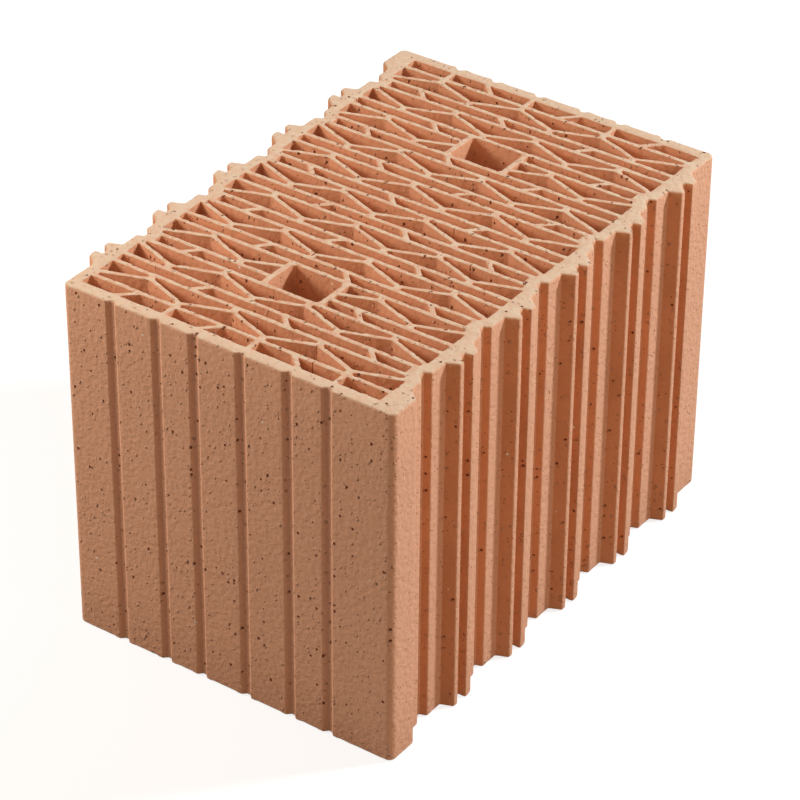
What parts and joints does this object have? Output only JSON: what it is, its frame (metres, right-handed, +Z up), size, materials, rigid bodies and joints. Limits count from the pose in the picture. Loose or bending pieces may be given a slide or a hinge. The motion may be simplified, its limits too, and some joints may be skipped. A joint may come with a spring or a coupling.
{
  "type": "hollow clay block",
  "caption": "Fired clay wall block with rows of zigzag webs and slots, two hand holes, and tongue-and-groove sides for laying without mortar in the upright joints.",
  "frame": {"origin": "centre of the lower bed face", "axes": "+X along the wall, +Y through the wall's thickness from the face nearer the camera to the far one, +Z up along the holes"},
  "size_m": [0.2502, 0.362, 0.25],
  "materials": {
    "fired_clay": "matt fired clay, unglazed, with pits and fine extrusion marks; bed faces ground paler"
  },
  "bodies": {
    "root": {"clay_block": "fired_clay"}
  },
  "joints": []
}
